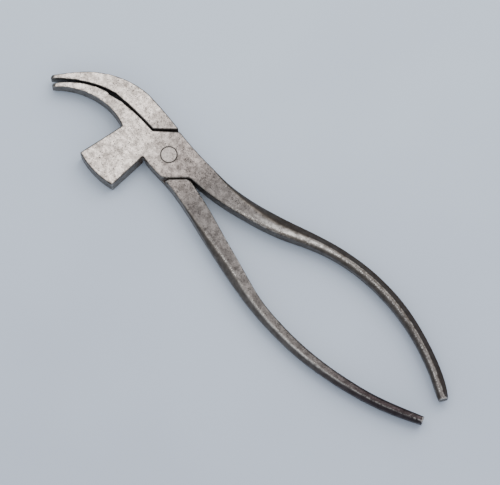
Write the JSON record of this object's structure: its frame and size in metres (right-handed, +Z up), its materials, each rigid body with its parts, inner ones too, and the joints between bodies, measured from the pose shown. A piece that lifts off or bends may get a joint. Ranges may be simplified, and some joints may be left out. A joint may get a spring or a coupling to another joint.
{
  "type": "lasting pincers",
  "caption": "Shoemaker's lasting pincers: curved beak jaws with toothed gripping edges, a side hammer head, bowed handles, and two forged levers lapped on one rivet.",
  "frame": {"origin": "on the rivet's axis, in the plane that the tool lies on", "axes": "+X along the tool towards the jaws, +Y towards the hammer head, +Z up through the joint"},
  "size_m": [0.2112, 0.0508, 0.0095],
  "materials": {
    "forged_steel": "aged satin steel with stains, pits and dark handles",
    "rivet_steel": "peened and ground flush, satin"
  },
  "bodies": {
    "hammer_side": {"hammer_lever": "forged_steel", "pivot_rivet": "rivet_steel"},
    "plain_side": {"plain_lever": "forged_steel"}
  },
  "joints": [
    {"name": "pivot", "type": "hinge", "parent": "hammer_side", "child": "plain_side", "pos_m": [0, 0, 0.00475], "axis": [0, 0, -1], "range_deg": [-0.5, 25]}
  ]
}
